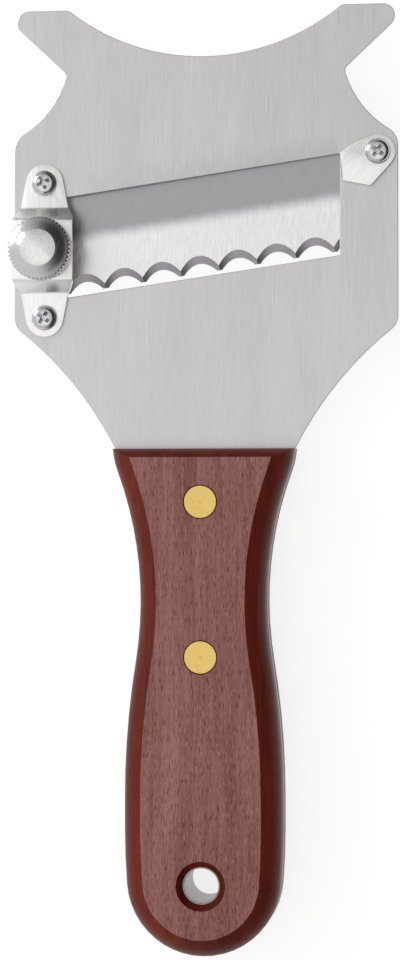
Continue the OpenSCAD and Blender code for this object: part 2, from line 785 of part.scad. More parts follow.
module pivot_washer() {
    color(bright_steel)
    translate([pivot.x, pivot.y, washer_z - pivot_washer_t])
        difference() {
            cylinder(d = pivot_washer_d, h = pivot_washer_t);
            translate([0, 0, -over])
                cylinder(d = screw_d + 2 * hole_play, h = pivot_washer_t + 2 * over);
        }
}

// The clip is a round-ended leaf whose tail stands just right of the window's upper corner
clip_tail_gap = 0.1;
clip_tail_lean = 0.7;
clip_tail = [window_right + clip_tail_gap, slant_y(window_right, window_h)] - pivot;
clip_heel = [-clip_heel_x, -clip_heel_y];

// Direction in which a line from p touches the clip's round end, on the side given by s
function touch(p, s) = atan2(p.y, p.x) + s * acos(clip_r / norm(p));

// The clip's back bulges between its tail and its round end
clip_high = clip_r * [cos(touch(clip_tail, -1)), sin(touch(clip_tail, -1))];
clip_back = (clip_high - clip_tail) / norm(clip_high - clip_tail);
clip_back_c = (clip_tail + clip_high) / 2
    + sqrt(pow(clip_back_r, 2) - pow(norm(clip_high - clip_tail) / 2, 2))
    * [clip_back.y, -clip_back.x];

module pivot_clip() {
    color(bright_steel)
    translate([pivot.x, pivot.y, face_z])
        difference() {
            linear_extrude(clip_t)
                polygon(concat(
                    [clip_heel],
                    arc([0, 0], clip_r, touch(clip_heel, 1), touch(clip_tail, -1), 16),
                    arc(clip_back_c, clip_back_r, angle_to(clip_back_c, clip_high),
                        angle_to(clip_back_c, clip_tail), 8),
                    [clip_tail + [clip_tail_lean, -clip_tail_h]]
                ));
            translate([0, 0, -over])
                cylinder(d = screw_d + 2 * hole_play, h = clip_t + 2 * over);
        }
}

module adjusting_knob() {
    r = knob_d / 2;
    core_r = r - knurl_depth;
    // The bevels run on to a radius outside the knurls
    bevel_from = core_r - knob_bevel;
    bevel_to = r + knob_bevel;
    color(bright_steel)
    translate([knob.x, knob.y, knob_z])
        difference() {
            intersection() {
                linear_extrude(knob_band_h + knob_cone_h)
                    polygon([for (i = [0:2 * knurl_n - 1])
                        (i % 2 == 0 ? r : core_r) * [cos(180 * i / knurl_n), sin(180 * i / knurl_n)]]);
                rotate_extrude()
                    polygon([
                        [0, 0],
                        [bevel_from, 0],
                        [bevel_to, bevel_to - bevel_from],
                        [bevel_to, knob_band_h - bevel_to + bevel_from],
                        [bevel_from, knob_band_h],
                        [knob_flat_d / 2, knob_band_h + knob_cone_h],
                        [0, knob_band_h + knob_cone_h]
                    ]);
            }
            translate([0, 0, -over])
                cylinder(d = spindle_d, h = spindle_grip + over);
        }
}

// The adjusting screw reaches through the bush at the blade's lowest place
spindle_low_z = ear_z - lever * tan(blade_tilt) + bush_low - blade_drop;

module adjusting_screw() {
    color(steel)
    translate([knob.x, knob.y, spindle_low_z])
        cylinder(d = spindle_d, h = knob_z + spindle_grip - spindle_low_z);
}

module knob_washer() {
    color(steel)
    translate([knob.x, knob.y, platform_z])
        difference() {
            cylinder(d = knob_washer_d, h = knob_washer_t);
            translate([0, 0, -over])
                cylinder(d = spindle_d + 2 * spindle_play, h = knob_washer_t + 2 * over);
        }
}

// The joints: the blade tilts about the pivot and follows the knob along the lever
echo(pivot = [pivot.x, pivot.y, ear_z], knob = [knob.x, knob.y, knob_z], lever = lever);

body_plate();
handle_scale_front();
handle_scale_back();
rivet_sockets();
rivet_pins();
hanging_tube();
slicing_blade();
blade_bush();
knob_bridge();
bridge_screws();
bridge_nuts();
pivot_clip();
pivot_screw();
pivot_spacer();
pivot_washer();
pivot_nut();
adjusting_knob();
adjusting_screw();
knob_washer();
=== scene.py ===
import json
import math
from contextlib import contextmanager

import bmesh
import bpy
from mathutils import Matrix, Vector


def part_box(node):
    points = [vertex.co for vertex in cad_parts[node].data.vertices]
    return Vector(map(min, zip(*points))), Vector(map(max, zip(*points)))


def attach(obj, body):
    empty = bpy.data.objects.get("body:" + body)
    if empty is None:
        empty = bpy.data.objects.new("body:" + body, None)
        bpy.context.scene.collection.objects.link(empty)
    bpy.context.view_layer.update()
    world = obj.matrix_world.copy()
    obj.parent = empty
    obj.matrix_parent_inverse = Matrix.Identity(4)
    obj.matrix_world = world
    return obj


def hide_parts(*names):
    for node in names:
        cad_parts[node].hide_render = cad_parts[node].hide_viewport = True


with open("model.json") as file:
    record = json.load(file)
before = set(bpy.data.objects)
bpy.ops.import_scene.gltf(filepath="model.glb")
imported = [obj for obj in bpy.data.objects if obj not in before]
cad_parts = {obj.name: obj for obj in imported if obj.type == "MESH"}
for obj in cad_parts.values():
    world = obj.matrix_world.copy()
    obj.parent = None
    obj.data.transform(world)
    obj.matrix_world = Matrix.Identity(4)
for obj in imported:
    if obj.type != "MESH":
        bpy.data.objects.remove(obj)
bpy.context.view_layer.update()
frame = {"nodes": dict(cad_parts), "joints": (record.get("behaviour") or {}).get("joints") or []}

MM = 0.001
STRAIGHT_UP = (0, 0, 1)


# The sizes that the frame gives

def middle(node):
    low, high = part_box(node)
    return (low + high) / 2


def ends_along(node, reach):
    """The middles of a node's two like solids, in line along Y, the upper one first."""
    low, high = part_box(node)
    x = (low.x + high.x) / 2
    return Vector((x, high.y - reach, 0)), Vector((x, low.y + reach, 0))


plate_low, plate_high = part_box("body_plate")
handle_low, handle_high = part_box("handle_scale_back")[0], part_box("handle_scale_front")[1]
knob_low, knob_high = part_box("adjusting_knob")
knob_axis = middle("adjusting_screw")
pivot = middle("pivot_washer")
hanging_hole = middle("hanging_tube")

# The window and the blade slant up to the right by this angle, in the photograph and in the frame
slant = math.atan2(
    -frame["joints"][1]["axis"][0],
    frame["joints"][1]["axis"][1],
)
along_slant = Vector((math.cos(slant), math.sin(slant), 0))
across_slant = Vector((-math.sin(slant), math.cos(slant), 0))


# Selecting and shaping

def activate(piece):
    bpy.ops.object.select_all(action="DESELECT")
    piece.select_set(True)
    bpy.context.view_layer.objects.active = piece


@contextmanager
def editing(piece):
    """Edit mode on one piece, with nothing selected at first."""
    activate(piece)
    bpy.ops.object.mode_set(mode="EDIT")
    bpy.ops.mesh.select_mode(type="VERT")
    bpy.ops.mesh.select_all(action="DESELECT")
    yield
    bpy.ops.object.mode_set(mode="OBJECT")


def pick(piece, kind, test):
    """Selects the faces, edges or verts of the piece in edit mode that pass the test."""
    bpy.ops.mesh.select_mode(type={"faces": "FACE", "edges": "EDGE", "verts": "VERT"}[kind])
    bpy.ops.mesh.select_all(action="DESELECT")
    mesh = bmesh.from_edit_mesh(piece.data)
    for part in getattr(mesh, kind):
        if test(part):
            part.select_set(True)
    bmesh.update_edit_mesh(piece.data)


def clean(piece):
    """Merges doubled points and turns all faces outwards."""
    with editing(piece):
        bpy.ops.mesh.select_all(action="SELECT")
        bpy.ops.mesh.remove_doubles(threshold=0.002 * MM)
        bpy.ops.mesh.normals_make_consistent(inside=False)


def modify(piece, kind, **settings):
    """Adds a modifier with its settings and applies it."""
    activate(piece)
    added = piece.modifiers.new(kind.title(), kind)
    for name, value in settings.items():
        setattr(added, name, value)
    bpy.ops.object.modifier_apply(modifier=added.name)


def round_edges(piece, width, segments=2, from_angle=30):
    modify(piece, "BEVEL", width=width * MM, segments=segments, limit_method="ANGLE",
           angle_limit=math.radians(from_angle))


def cut_away(piece, cutter, operation="DIFFERENCE"):
    modify(piece, "BOOLEAN", object=cutter, operation=operation, solver="EXACT")
    bpy.data.objects.remove(cutter)


def smooth(piece, angle=28):
    activate(piece)
    bpy.ops.object.shade_smooth_by_angle(angle=math.radians(angle))


def copied(name, node):
    """A copy of a frame node's mesh, with its triangles merged into whole faces."""
    piece = bpy.data.objects.new(name, frame["nodes"][node].data.copy())
    bpy.context.scene.collection.objects.link(piece)
    piece.data.name = name
    piece.data.materials.clear()
    activate(piece)
    bpy.ops.mesh.customdata_custom_splitnormals_clear()
    with editing(piece):
        bpy.ops.mesh.select_all(action="SELECT")
        bpy.ops.mesh.remove_doubles(threshold=0.002 * MM)
        bpy.ops.mesh.dissolve_limited(angle_limit=math.radians(0.4))
    return piece


def turned(name, centre, profile, steps=72):
    """Spins a half section, given as (radius, height) in mm above the centre, round an upright axis."""
    points = [Vector((centre.x + r * MM, centre.y, centre.z + z * MM)) for r, z in profile]
    bpy.ops.object.select_all(action="DESELECT")
    bpy.ops.mesh.primitive_plane_add(size=MM, location=points[0])
    piece = bpy.context.active_object
    piece.name = piece.data.name = name
    bpy.ops.object.transform_apply(location=True, rotation=True, scale=True)
    with editing(piece):
        bpy.ops.mesh.select_all(action="SELECT")
        bpy.ops.mesh.merge(type="CENTER")
        for start, end in zip(points, points[1:]):
            bpy.ops.mesh.extrude_vertices_move(TRANSFORM_OT_translate={"value": end - start})
        bpy.ops.mesh.select_all(action="SELECT")
        bpy.ops.mesh.spin(steps=steps, angle=math.tau, center=(centre.x, centre.y, 0), axis=STRAIGHT_UP)
    clean(piece)
    return piece


def closed(profile):
    return profile + profile[:1]


def ring(name, centre, inner, outer, height, chamfer, steps=72):
    """A turned ring whose four edges are chamfered."""
    return turned(name, centre, closed([
        (inner, chamfer), (inner + chamfer, 0), (outer - chamfer, 0), (outer, chamfer),
        (outer, height - chamfer), (outer - chamfer, height), (inner + chamfer, height),
        (inner, height - chamfer),
    ]), steps)


def block(name, centre, size):
    bpy.ops.object.select_all(action="DESELECT")
    bpy.ops.mesh.primitive_cube_add(size=1, location=centre, scale=[part * MM for part in size])
    piece = bpy.context.active_object
    piece.name = piece.data.name = name
    bpy.ops.object.transform_apply(location=True, rotation=True, scale=True)
    return piece


def prism(name, centre, radius, height, sides, turn=0):
    """An upright prism whose foot is at the centre, with a corner at the angle turn."""
    bpy.ops.object.select_all(action="DESELECT")
    bpy.ops.mesh.primitive_cylinder_add(
        vertices=sides, radius=radius * MM, depth=height * MM,
        location=centre + Vector((0, 0, height / 2 * MM)), rotation=(0, 0, turn))
    piece = bpy.context.active_object
    piece.name = piece.data.name = name
    bpy.ops.object.transform_apply(location=True, rotation=True, scale=True)
    return piece


def settle(piece, body, slot, *nodes):
    """Ties a finished piece to the frame body and hides the frame nodes that it stands for. The slot is not used."""
    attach(piece, body)
    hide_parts(*nodes)


# Materials

def colour(hex_text):
    """Turns an sRGB hex value to the linear values that shaders take."""
    parts = [int(hex_text[i:i + 2], 16) / 255 for i in (1, 3, 5)]
    return [p / 12.92 if p <= 0.04045 else ((p + 0.055) / 1.055) ** 2.4 for p in parts] + [1]


def add(tree, kind, inputs=None, **settings):
    """Adds one node. An input is a value, or the output socket that it is linked to."""
    made = tree.nodes.new(kind)
    for name, value in settings.items():
        setattr(made, name, value)
    for key, value in (inputs or {}).items():
        if isinstance(value, bpy.types.NodeSocket):
            tree.links.new(value, made.inputs[key])
        else:
            made.inputs[key].default_value = value
    return made


# The sockets of the colour mixing node
FACTOR, FIRST, SECOND, RESULT = 0, 6, 7, 2


def mix(tree, factor, first, second, blend="MIX"):
    mixed = add(tree, "ShaderNodeMix", {FACTOR: factor, FIRST: first, SECOND: second},
                data_type="RGBA", blend_type=blend)
    return mixed.outputs[RESULT]


def spread(tree, value, low, high, to_low=0, to_high=1, kind="LINEAR"):
    ranged = add(tree, "ShaderNodeMapRange", {
        "Value": value, "From Min": low, "From Max": high, "To Min": to_low, "To Max": to_high,
    }, interpolation_type=kind)
    return ranged.outputs["Result"]


def sum_of(tree, first, second, operation="ADD"):
    return add(tree, "ShaderNodeMath", {0: first, 1: second}, operation=operation).outputs[0]


def streaks(tree, width, length, turn=0.0, detail=3, distortion=0.0, height=None):
    """Noise drawn out along Y turned by the angle turn, with streaks of a width and length in mm."""
    place = add(tree, "ShaderNodeTexCoord").outputs["Object"]
    turned_place = add(tree, "ShaderNodeMapping", {"Vector": place, "Rotation": (0, 0, -turn)})
    depth = height or width
    drawn = add(tree, "ShaderNodeMapping", {
        "Vector": turned_place.outputs[0],
        "Scale": (1 / (width * MM), 1 / (length * MM), 1 / (depth * MM)),
    })
    noise = add(tree, "ShaderNodeTexNoise", {
        "Vector": drawn.outputs[0], "Scale": 1, "Detail": detail, "Roughness": 0.6,
        "Distortion": distortion,
    })
    return noise.outputs[0]


def start_material(name):
    material = bpy.data.materials.new(name)
    material.use_nodes = True
    tree = material.node_tree
    return material, tree, tree.nodes["Principled BSDF"]


def bumped(tree, shader, height, depth_mm, strength=1.0):
    bump = add(tree, "ShaderNodeBump", {"Height": height, "Distance": depth_mm * MM, "Strength": strength})
    tree.links.new(bump.outputs[0], shader.inputs["Normal"])


def brushed_stainless(name, dark, light, turn, grain=(0.28, 7), rough=(0.28, 0.4), depth=0.006):
    """Stainless sheet drawn over an abrasive belt: fine straight scratches, seen as soft light and
    dark threads, and a sheen that spreads across them. The scratches are drawn wider than the real
    0.05 mm, so that they show."""
    material, tree, shader = start_material(name)
    scratches = streaks(tree, grain[0], grain[1], turn, detail=4)
    bands = streaks(tree, 9, 60, turn, detail=1)
    shade = sum_of(tree, spread(tree, scratches, 0.3, 0.7, 0, 0.75), spread(tree, bands, 0.3, 0.7, 0, 0.25))
    tree.links.new(mix(tree, shade, colour(dark), colour(light)), shader.inputs["Base Color"])
    tree.links.new(spread(tree, scratches, 0.3, 0.7, *rough), shader.inputs["Roughness"])
    shader.inputs["Metallic"].default_value = 1
    bumped(tree, shader, scratches, depth)
    return material


def polished_stainless(name, base, rough):
    """Polished stainless steel of screws and nuts: sharp bright and dark reflections, with faint
    wear that blurs them here and there."""
    material, tree, shader = start_material(name)
    wear = streaks(tree, 0.6, 0.6, detail=4)
    shader.inputs["Base Color"].default_value = colour(base)
    shader.inputs["Metallic"].default_value = 1
    tree.links.new(spread(tree, wear, 0.3, 0.7, rough, rough + 0.14), shader.inputs["Roughness"])
    bumped(tree, shader, wear, 0.004)
    return material


def turned_metal(name, centre, dark, light, ring_mm, rough, spot_mm=0.0):
    """Metal faced on a lathe: concentric tool marks round its axis, brighter and darker by turns,
    and a small darker spot at the middle where the tool ran out."""
    material, tree, shader = start_material(name)
    place = add(tree, "ShaderNodeTexCoord").outputs["Object"]
    centred = add(tree, "ShaderNodeMapping", {
        "Vector": place, "Location": (-centre.x, -centre.y, 0), "Scale": (1, 1, 0),
    })
    radius = add(tree, "ShaderNodeVectorMath", {0: centred.outputs[0]}, operation="LENGTH").outputs["Value"]
    marks = add(tree, "ShaderNodeMath", {
        0: sum_of(tree, radius, math.tau / (ring_mm * MM), "MULTIPLY"),
    }, operation="SINE").outputs[0]
    specks = streaks(tree, 0.35, 0.35, detail=3)
    shade = sum_of(tree, spread(tree, marks, -1, 1, 0, 0.4), spread(tree, specks, 0.3, 0.7, 0, 0.6))
    base = mix(tree, shade, colour(dark), colour(light))
    if spot_mm:
        spot = spread(tree, radius, 0.5 * spot_mm * MM, spot_mm * MM, 0.45, 0)
        base = mix(tree, spot, base, colour(dark))
    tree.links.new(base, shader.inputs["Base Color"])
    shader.inputs["Metallic"].default_value = 1
    tree.links.new(spread(tree, specks, 0.3, 0.7, rough, rough + 0.12), shader.inputs["Roughness"])
    bumped(tree, shader, marks, 0.004)
    return material


def blade_steel(name, painted_reflection_edge_v):
    """Hardened stainless strip with a fine grain across. Its upper half is painted darker and its lower half painted
    bright. This painted reflection stands in for the two halves of a soft bend catching different parts of the room."""
    material, tree, shader = start_material(name)
    place = add(tree, "ShaderNodeTexCoord").outputs["Object"]
    across = add(tree, "ShaderNodeVectorMath", {0: place, 1: across_slant}, operation="DOT_PRODUCT")
    uneven = spread(tree, streaks(tree, 2.5, 5, slant, detail=3), 0.3, 0.7, -0.2 * MM, 0.2 * MM)
    height = sum_of(tree, across.outputs["Value"], uneven)
    # Painted reflection: the mask of the darker upper half, along a slightly wavy line across the slant
    upper = spread(tree, height, painted_reflection_edge_v - 1.6 * MM, painted_reflection_edge_v + 2.2 * MM, 0, 1, "SMOOTHSTEP")
    grain = streaks(tree, 0.3, 4, 0, detail=4)
    # Painted bright reflection for the lower half and painted dark reflection for the upper half, each with the grain
    bright = mix(tree, spread(tree, grain, 0.3, 0.7), colour("#dcdadb"), colour("#f2f0f1"))
    painted_dark_reflection = mix(tree, spread(tree, grain, 0.3, 0.7), colour("#939194"), colour("#a09ea1"))
    tree.links.new(mix(tree, upper, bright, painted_dark_reflection), shader.inputs["Base Color"])
    shader.inputs["Metallic"].default_value = 1
    tree.links.new(spread(tree, grain, 0.3, 0.7, 0.24, 0.36), shader.inputs["Roughness"])
    bumped(tree, shader, grain, 0.004)
    return material


def hardwood(name, dark, light, pore, pale, rough, pores=1.0, sheen=0.3):
    """Dark open-pored tropical hardwood cut along the grain: broad soft bands, and short fine
    dashes where the pores are cut open, some dark and some filled with pale sanding dust."""
    material, tree, shader = start_material(name)
    bands = streaks(tree, 5, 60, detail=3, distortion=0.6)
    fibres = streaks(tree, 0.7, 14, detail=4)
    shade = sum_of(tree, spread(tree, bands, 0.3, 0.7, 0, 0.55), spread(tree, fibres, 0.3, 0.7, 0, 0.45))
    base = mix(tree, shade, colour(dark), colour(light))
    open_pores = streaks(tree, 0.24, 2, detail=1)
    dust = streaks(tree, 0.27, 1.8, turn=0.02, detail=1)
    dark_dashes = spread(tree, open_pores, 0.6, 0.68, 0, 0.75 * pores)
    pale_dashes = spread(tree, dust, 0.62, 0.7, 0, 0.6 * pores)
    base = mix(tree, pale_dashes, base, colour(pale))
    base = mix(tree, dark_dashes, base, colour(pore))
    tree.links.new(base, shader.inputs["Base Color"])
    tree.links.new(spread(tree, fibres, 0.3, 0.7, rough, rough + 0.12), shader.inputs["Roughness"])
    shader.inputs["Specular IOR Level"].default_value = sheen
    bumped(tree, shader, sum_of(tree, fibres, sum_of(tree, dark_dashes, -1.5, "MULTIPLY")), 0.05)
    return material


plate_steel = brushed_stainless("brushed_stainless_sheet", "#bab8b9", "#cfcdce", 0)
strip_steel = brushed_stainless("brushed_stainless_strip", "#dedcdb", "#f6f5f3", 0, grain=(0.5, 12))
clip_steel = brushed_stainless("brushed_stainless_clip", "#d2d0ce", "#f4f2f0", math.radians(-38), grain=(0.35, 5))
ground_steel = brushed_stainless("ground_stainless_bevel", "#8e8c8e", "#a8a6a8", slant, grain=(0.2, 2))
screw_steel = polished_stainless("polished_stainless_screws", "#c9c8ca", 0.1)
# Painted shade: a dark grey steel for the inside of the cross recesses, standing in for the shade that falls in them
recess_painted_shade = polished_stainless("recess_painted_shade_steel", "#3b393a", 0.45)
tube_steel = brushed_stainless("drawn_stainless_tube", "#8f8d8c", "#a9a7a6", 0, grain=(0.4, 3))
rivet_brass = [
    turned_metal("turned_brass_rivet_" + place, spot, "#cda853", "#ecd088", 0.45, 0.3, spot_mm=0.7)
    for place, spot in zip(("upper", "lower"), ends_along("rivet_sockets", 4 * MM))
]
bush_brass = turned_metal("turned_brass_bush", knob_axis, "#c9a24e", "#e2c377", 0.3, 0.25)
knob_steel = turned_metal("turned_stainless_knob", knob_axis, "#c4c2c2", "#e6e4e4", 0.35, 0.14)
wood_face = hardwood("sanded_rosewood_face", "#7a433e", "#ad7872", "#43201c", "#bd948f", 0.6, pores=0.8)
wood_edge = hardwood("polished_rosewood_edge", "#43120a", "#7d2a18", "#260a05", "#8a4030", 0.34, pores=0.4, sheen=0.16)


# The plate: a sheet with softened edges, whose upper window edge curls up a little to the front

def window_edge():
    """How far above the origin the window's upper edge lies across the slant."""
    blade_high = max(across_slant.dot(v.co) for v in frame["nodes"]["slicing_blade"].data.vertices)
    plate = frame["nodes"]["body_plate"].data
    inside = [across_slant.dot(v.co) for v in plate.vertices if abs(v.co.x) < plate_high.x - 13 * MM]
    return max(v for v in inside if v < blade_high)


window_top = window_edge()


def lip_height(place, width, height, ends, fade):
    """Rise of the lip at a point: a quarter wave across it, faded out at its two ends."""
    above = across_slant.dot(place) - window_top
    if above > width or above < -1 * MM:
        return 0
    fall = 1 - max(above, 0) / width
    left = min(max((place.x - ends[0]) / fade, 0), 1)
    right = min(max((ends[1] - place.x) / fade, 0), 1)
    return height * fall * fall * left * left * (3 - 2 * left) * right * right * (3 - 2 * right)


def make_plate():
    plate = copied("plate_sheet", "body_plate")
    round_edges(plate, 0.14, 2)
    lip_width, lip_rise, lip_fade = 6 * MM, 0.32 * MM, 5 * MM
    lip_ends = (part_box("knob_bridge")[1].x - 1 * MM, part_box("pivot_clip")[0].x + 0.5 * MM)
    with editing(plate):
        for step in range(7):
            line = across_slant * (window_top + lip_width * step / 6)
            bpy.ops.mesh.select_all(action="SELECT")
            bpy.ops.mesh.bisect(plane_co=line, plane_no=across_slant)
        for end, way in ((lip_ends[0], 1), (lip_ends[1], -1)):
            for step in range(6):
                bpy.ops.mesh.select_all(action="SELECT")
                bpy.ops.mesh.bisect(plane_co=(end + way * lip_fade * step / 5, 0, 0), plane_no=(1, 0, 0))
    for point in plate.data.vertices:
        point.co.z += lip_height(point.co, lip_width, lip_rise, lip_ends, lip_fade)
    smooth(plate, 20)
    plate.data.materials.append(plate_steel)
    settle(plate, "frame", "plate_steel", "body_plate")


# The handle: two scales with rounded edges, matte on the face and polished round it

def make_scale(name, node, face_z):
    scale = copied(name, node)
    smooth(scale, 20)
    scale.data.materials.append(wood_edge)
    scale.data.materials.append(wood_face)
    for face in scale.data.polygons:
        if abs(face.normal.z) > 0.999 and abs(face.center.z - face_z) < 0.01 * MM:
            face.material_index = 1
    settle(scale, "frame", "handle_wood", node)


# The rivets: cutlery rivets whose heads stand flush with the wood

def make_rivets():
    head_r, shank_r, pin_r = 4, 2.5, 1.6
    head_t, dish, chamfer = 1.8, 0.08, 0.25
    thick = (handle_high.z - handle_low.z) / MM
    for place, spot, brass in zip(("upper", "lower"), ends_along("rivet_sockets", 4 * MM), rivet_brass):
        socket = turned("rivet_socket_" + place, spot, closed([
            (pin_r, head_t), (shank_r, head_t), (shank_r, thick - head_t), (head_r, thick - head_t),
            (head_r, thick - chamfer), (head_r - chamfer, thick), (1.2, thick - dish / 2),
            (0, thick - dish), (0, thick - head_t), (pin_r, thick - head_t),
        ]))
        pin = turned("rivet_pin_" + place, spot, [
            (0, dish), (1.2, dish / 2), (head_r - chamfer, 0), (head_r, chamfer), (head_r, head_t),
            (pin_r, head_t), (pin_r, thick - head_t - 1.2), (pin_r - 0.2, thick - head_t - 1),
            (0, thick - head_t - 1),
        ])
        for piece, node in ((socket, "rivet_sockets"), (pin, "rivet_pins")):
            smooth(piece)
            piece.data.materials.append(brass)
            settle(piece, "frame", "rivet_brass", node)


def make_hanging_tube():
    low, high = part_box("hanging_tube")
    outer = (high.x - low.x) / 2 / MM
    wall = 0.4
    tube = ring("hole_lining", Vector((hanging_hole.x, hanging_hole.y, low.z)),
                outer - wall, outer, (high.z - low.z) / MM, 0.12)
    smooth(tube)
    tube.data.materials.append(tube_steel)
    settle(tube, "frame", "tube_steel", "hanging_tube")


# The blade

def make_blade():
    blade = copied("scalloped_blade", "slicing_blade")
    smooth(blade, 20)
    # How far below the window edge the painted reflection turns from bright to dark
    painted_reflection_drop = 10.2 * MM
    blade.data.materials.append(blade_steel("hardened_stainless_blade_painted_reflection", window_top - painted_reflection_drop))
    blade.data.materials.append(ground_steel)
    for face in blade.data.polygons:
        tilt = across_slant.dot(face.normal)
        if tilt < -0.2 and face.normal.z > 0.5:
            face.material_index = 1
    settle(blade, "blade", "blade_steel", "slicing_blade")


make_plate()
make_scale("front_scale", "handle_scale_front", handle_high.z)
make_scale("back_scale", "handle_scale_back", handle_low.z)
make_rivets()
make_hanging_tube()
make_blade()


# The bridge, the clip and their fasteners

def make_bridge():
    bridge = copied("bent_bridge", "knob_bridge")
    round_edges(bridge, 0.16, 3)
    smooth(bridge, 24)
    bridge.data.materials.append(strip_steel)
    settle(bridge, "frame", "bright_steel", "knob_bridge")


def make_clip():
    clip = copied("clip_leaf", "pivot_clip")
    round_edges(clip, 0.22, 3)
    smooth(clip, 24)
    clip.data.materials.append(clip_steel)
    settle(clip, "frame", "bright_steel", "pivot_clip")


def cross_cutter(centre, top_z, turn):
    """One wing of the cross recess: a block that narrows downwards."""
    length, width, depth, above = 3.6, 0.95, 1.4, 0.15
    height = depth + above
    wing = block("wing", Vector((0, 0, (above - height / 2) * MM)), (length, width, height))
    with editing(wing):
        pick(wing, "faces", lambda face: face.normal.z < -0.5)
        bpy.ops.transform.resize(value=(0.3, 0.55, 1))
    wing.data.transform(Matrix.Translation((centre.x, centre.y, top_z)) @ Matrix.Rotation(turn, 4, "Z"))
    return wing


def pan_screw(name, centre, seat_z, shank_low_z, turn):
    """A cross-recess pan head screw with a threaded shank."""
    head_r, head_h = 3, 1.9
    shank_l = (seat_z - shank_low_z) / MM
    screw = turned(name, Vector((centre.x, centre.y, seat_z)), [
        (0, -0.2), (1.5, -0.2), (1.5, 0), (head_r - 0.1, 0), (head_r, 0.12), (head_r - 0.02, 0.8),
        (head_r - 0.2, 1.25), (head_r - 0.55, 1.6), (head_r - 1.1, 1.82), (1.2, head_h), (0, head_h),
    ], steps=64)
    for wing in (0, 90):
        cut_away(screw, cross_cutter(centre, seat_z + head_h * MM, turn + math.radians(wing)))
    well_r, well_floor = 0.8, 0.3
    cut_away(screw, turned("well", Vector((centre.x, centre.y, seat_z)), [
        (0, well_floor), (0.25, well_floor), (well_r, head_h + 0.2), (0, head_h + 0.2),
    ], steps=16))
    # Painted shade: the faces inside the cross recess and the well take the dark grey steel
    for face in screw.data.polygons:
        out = Vector((face.center.x - centre.x, face.center.y - centre.y, 0)).length
        if out < 2.1 * MM and seat_z + 0.1 * MM < face.center.z < seat_z + 1.75 * MM:
            face.material_index = 1
    screw.data.materials.clear()
    screw.data.materials.append(screw_steel)
    screw.data.materials.append(recess_painted_shade)
    shank = threaded_rod(name + "_shank", centre, shank_low_z, shank_l - 0.15, 1.5, 0.5, 0.26)
    activate(screw)
    shank.select_set(True)
    bpy.ops.object.join()
    smooth(screw, 35)
    screw.data.materials.clear()
    screw.data.materials.append(screw_steel)
    screw.data.materials.append(recess_painted_shade)
    return screw


def threaded_rod(name, centre, low_z, length, radius, pitch, depth):
    """A rod whose surface winds as a thread, with a chamfered lower end."""
    steps, rings_a_turn = 40, 8
    rings = round(length / pitch * rings_a_turn)
    rod = prism(name, Vector((centre.x, centre.y, low_z)), radius, length, steps)
    with editing(rod):
        pick(rod, "edges", lambda edge: abs(edge.verts[0].co.z - edge.verts[1].co.z) > 0.5 * length * MM)
        bpy.ops.mesh.subdivide(number_cuts=rings - 1)
    for point in rod.data.vertices:
        out = Vector((point.co.x - centre.x, point.co.y - centre.y, 0))
        if out.length < 0.5 * radius * MM:
            continue
        up = (point.co.z - low_z) / MM
        wind = (up / pitch - math.atan2(out.y, out.x) / math.tau) % 1
        cut = depth * (1 - abs(2 * wind - 1))
        end = max(0, depth + 0.1 - up)
        point.co -= out.normalized() * min(max(cut, end), depth + 0.1) * MM
    return rod


def hex_nut(name, centre, low_z, height, across_flats, bore_r, node):
    radius = across_flats / 2 / math.cos(math.pi / 6)
    foot = Vector((centre.x, centre.y, low_z))
    nut = prism(name, foot, radius, height, 6)
    chamfer = 0.35
    lens = turned("lens", foot, [
        (0, 0), (across_flats / 2 - 0.1, 0), (radius + 0.2, chamfer + 0.1), (radius + 0.2, height - chamfer - 0.1),
        (across_flats / 2 - 0.1, height), (0, height),
    ])
    cut_away(nut, lens, "INTERSECT")
    cut_away(nut, turned("bore", foot, [
        (0, -1), (bore_r + 1.3, -1), (bore_r, 0.3), (bore_r, height - 0.3), (bore_r + 1.3, height + 1), (0, height + 1),
    ]))
    smooth(nut)
    nut.data.materials.clear()
    nut.data.materials.append(screw_steel)
    settle(nut, "frame", "screw_steel", node)


def make_bridge_fasteners():
    seat_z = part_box("bridge_screws")[1].z - 1.9 * MM
    low_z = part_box("bridge_screws")[0].z
    nut_low, nut_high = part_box("bridge_nuts")
    for place, spot, turn in zip(("upper", "lower"), ends_along("bridge_screws", 3 * MM), (25, 55)):
        screw = pan_screw("bridge_screw_" + place, spot, seat_z, low_z, math.radians(turn))
        settle(screw, "frame", "screw_steel", "bridge_screws")
        hex_nut("bridge_nut_" + place, spot, nut_low.z, (nut_high.z - nut_low.z) / MM, 5.5, 1.5, "bridge_nuts")


def make_pivot_fasteners():
    low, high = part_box("pivot_screw")
    ear_bore_r = 1.6
    screw = pan_screw("pivot_pan_screw", pivot, high.z - 1.9 * MM, low.z, math.radians(55))
    settle(screw, "frame", "screw_steel", "pivot_screw")
    nut_low, nut_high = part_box("pivot_nut")
    hex_nut("pivot_hex_nut", pivot, nut_low.z, (nut_high.z - nut_low.z) / MM, 5.5, 1.5,
            "pivot_nut")
    for name, node in (("ear_spacer", "pivot_spacer"), ("ear_washer", "pivot_washer")):
        low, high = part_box(node)
        piece = ring(name, Vector((pivot.x, pivot.y, low.z)), ear_bore_r, (high.x - low.x) / 2 / MM,
                     (high.z - low.z) / MM, 0.08)
        smooth(piece)
        piece.data.materials.append(screw_steel)
        settle(piece, "frame", "screw_steel", node)


# The knob, its thread, washer and bush

